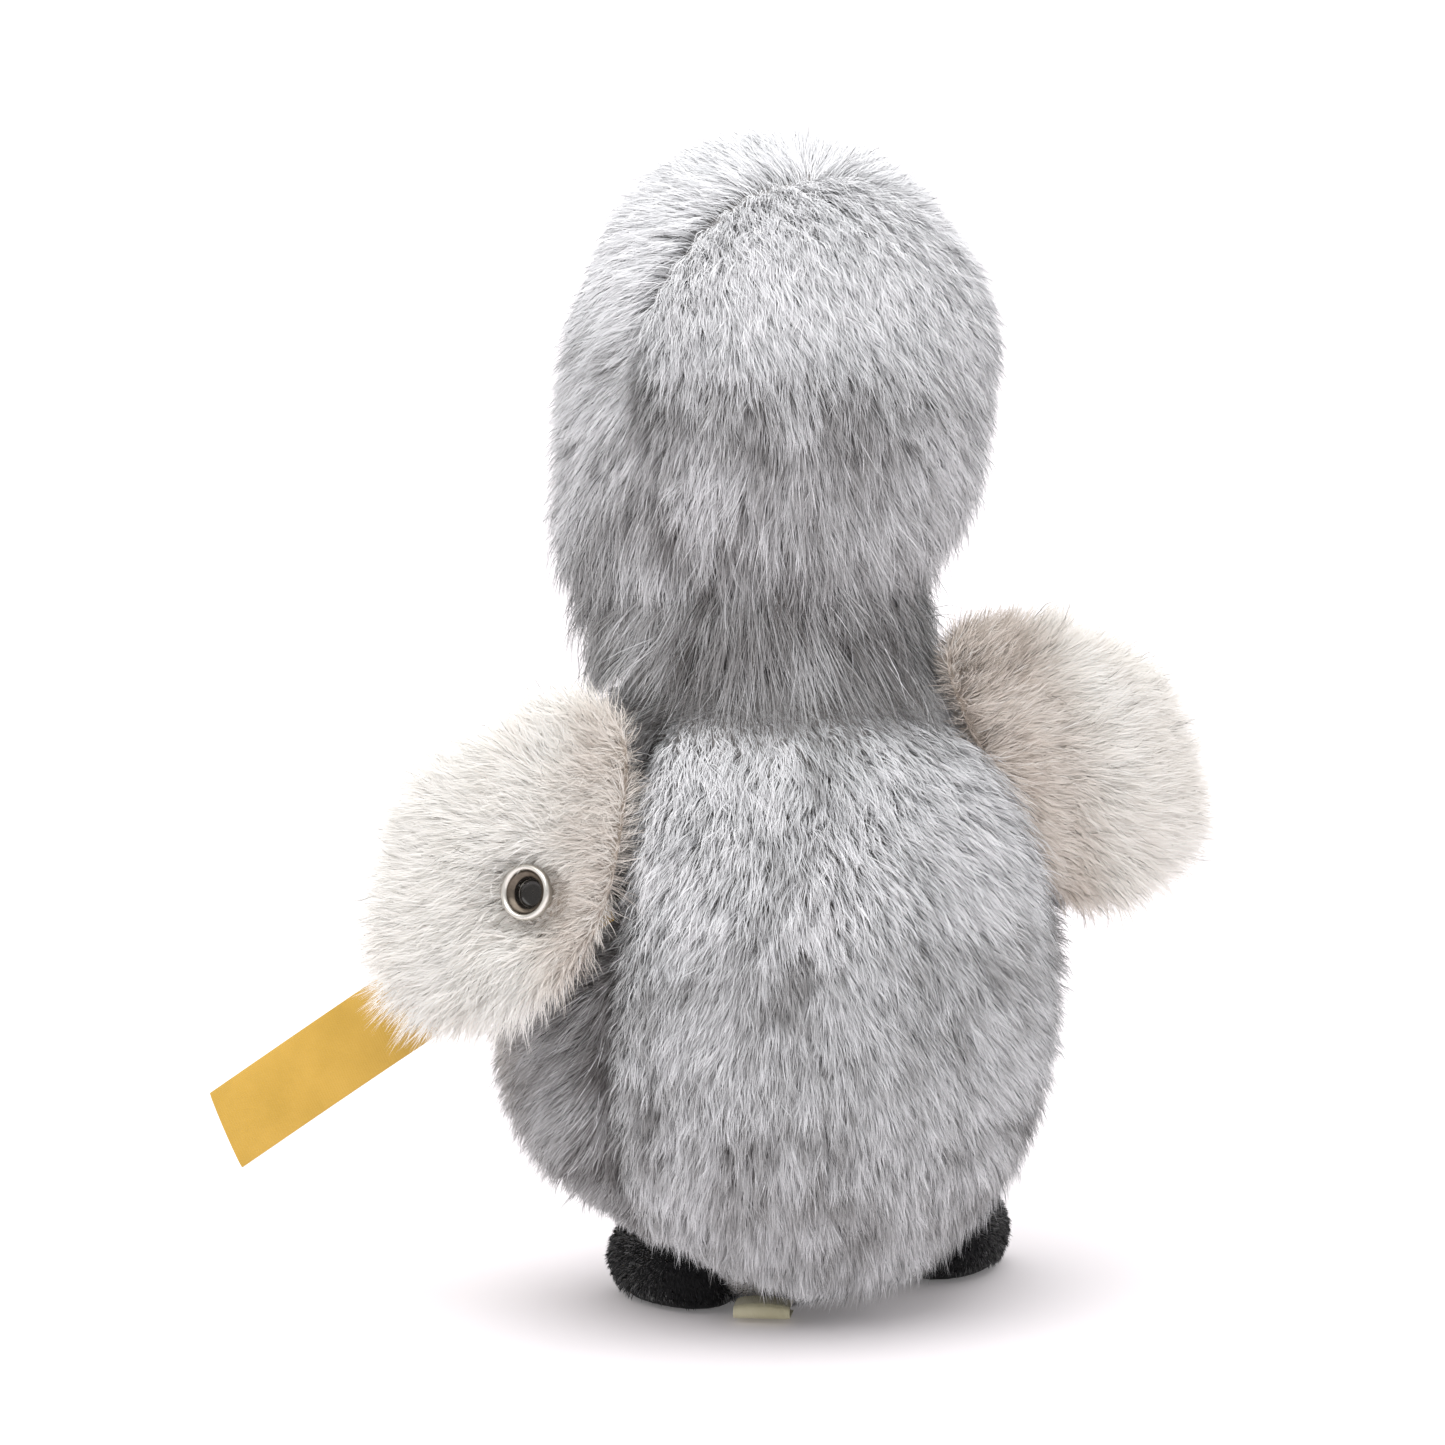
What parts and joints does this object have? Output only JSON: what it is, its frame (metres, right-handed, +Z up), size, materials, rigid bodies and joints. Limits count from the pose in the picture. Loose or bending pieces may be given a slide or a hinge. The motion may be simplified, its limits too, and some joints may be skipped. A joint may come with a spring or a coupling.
{
  "type": "plush penguin",
  "caption": "Small standing plush penguin chick with a soft neck, sewn-on flippers, velour feet, a hollow rivet and a ribbon tag.",
  "frame": {"origin": "centre of the flat base on the ground, below the body's axis", "axes": "+Z up; the penguin faces -Y, its left side is towards +X"},
  "size_m": [0.1137, 0.0654, 0.135],
  "materials": {
    "grey_plush": "long soft pile, mottled",
    "white_plush": "short soft pile",
    "cream_plush": "long soft pile",
    "black_velour": "short velour pile",
    "beak_velour": "short velour pile",
    "fibre_fill": "loose polyester fibre",
    "label_tape": "woven tape",
    "ribbon_satin": "woven satin",
    "rivet_metal": "nickel-plated, satin",
    "eye_plastic": "polished",
    "washer_plastic": "moulded"
  },
  "bodies": {
    "body": {"body_back_panel": "grey_plush", "body_left_panel": "grey_plush", "body_right_panel": "grey_plush", "belly_panel": "white_plush", "base_gusset": "grey_plush", "body_stuffing": "fibre_fill", "care_label": "label_tape", "left_foot_upper": "black_velour", "left_foot_sole": "black_velour", "left_foot_stuffing": "fibre_fill", "right_foot_upper": "black_velour", "right_foot_sole": "black_velour", "right_foot_stuffing": "fibre_fill"},
    "neck": {"neck_stuffing": "fibre_fill"},
    "head": {"head_back_panel": "grey_plush", "head_left_panel": "grey_plush", "head_right_panel": "grey_plush", "face_mask": "white_plush", "head_stuffing": "fibre_fill", "left_eye": "eye_plastic", "right_eye": "eye_plastic", "left_eye_washer": "washer_plastic", "right_eye_washer": "washer_plastic", "beak_upper": "beak_velour", "beak_lower": "beak_velour"},
    "left_flipper": {"left_flipper_outer": "cream_plush", "left_flipper_inner": "cream_plush", "left_flipper_stuffing": "fibre_fill", "rivet_button": "rivet_metal", "rivet_washer": "rivet_metal"},
    "ribbon": {"ribbon_tag": "ribbon_satin"},
    "right_flipper": {"right_flipper_outer": "cream_plush", "right_flipper_inner": "cream_plush", "right_flipper_stuffing": "fibre_fill"}
  },
  "joints": [
    {"name": "neck_nod", "type": "hinge", "parent": "body", "child": "neck", "pos_m": [0, -0.001, 0.073], "axis": [1, 0, 0], "range_deg": [-8, 8], "stiffness_Nm_per_rad": 0.12},
    {"name": "head_turn", "type": "hinge", "parent": "neck", "child": "head", "pos_m": [0, -0.001, 0.073], "axis": [0, 0, 1], "range_deg": [-25, 25], "stiffness_Nm_per_rad": 0.03},
    {"name": "left_flipper_swing", "type": "hinge", "parent": "body", "child": "left_flipper", "pos_m": [0.02718, 0.01267, 0.058], "axis": [-0.2346, -0.1094, 0.9659], "range_deg": [-5, 45], "stiffness_Nm_per_rad": 0.012},
    {"name": "right_flipper_swing", "type": "hinge", "parent": "body", "child": "right_flipper", "pos_m": [-0.02657, 0.01239, 0.0605], "axis": [-0.2346, 0.1094, -0.9659], "range_deg": [-10, 45], "stiffness_Nm_per_rad": 0.012},
    {"name": "ribbon_swing", "type": "hinge", "parent": "left_flipper", "child": "ribbon", "pos_m": [0.02863, 0.0063, 0.05121], "axis": [0.7887, 0.5594, 0.2549], "range_deg": [-20, 20]}
  ]
}
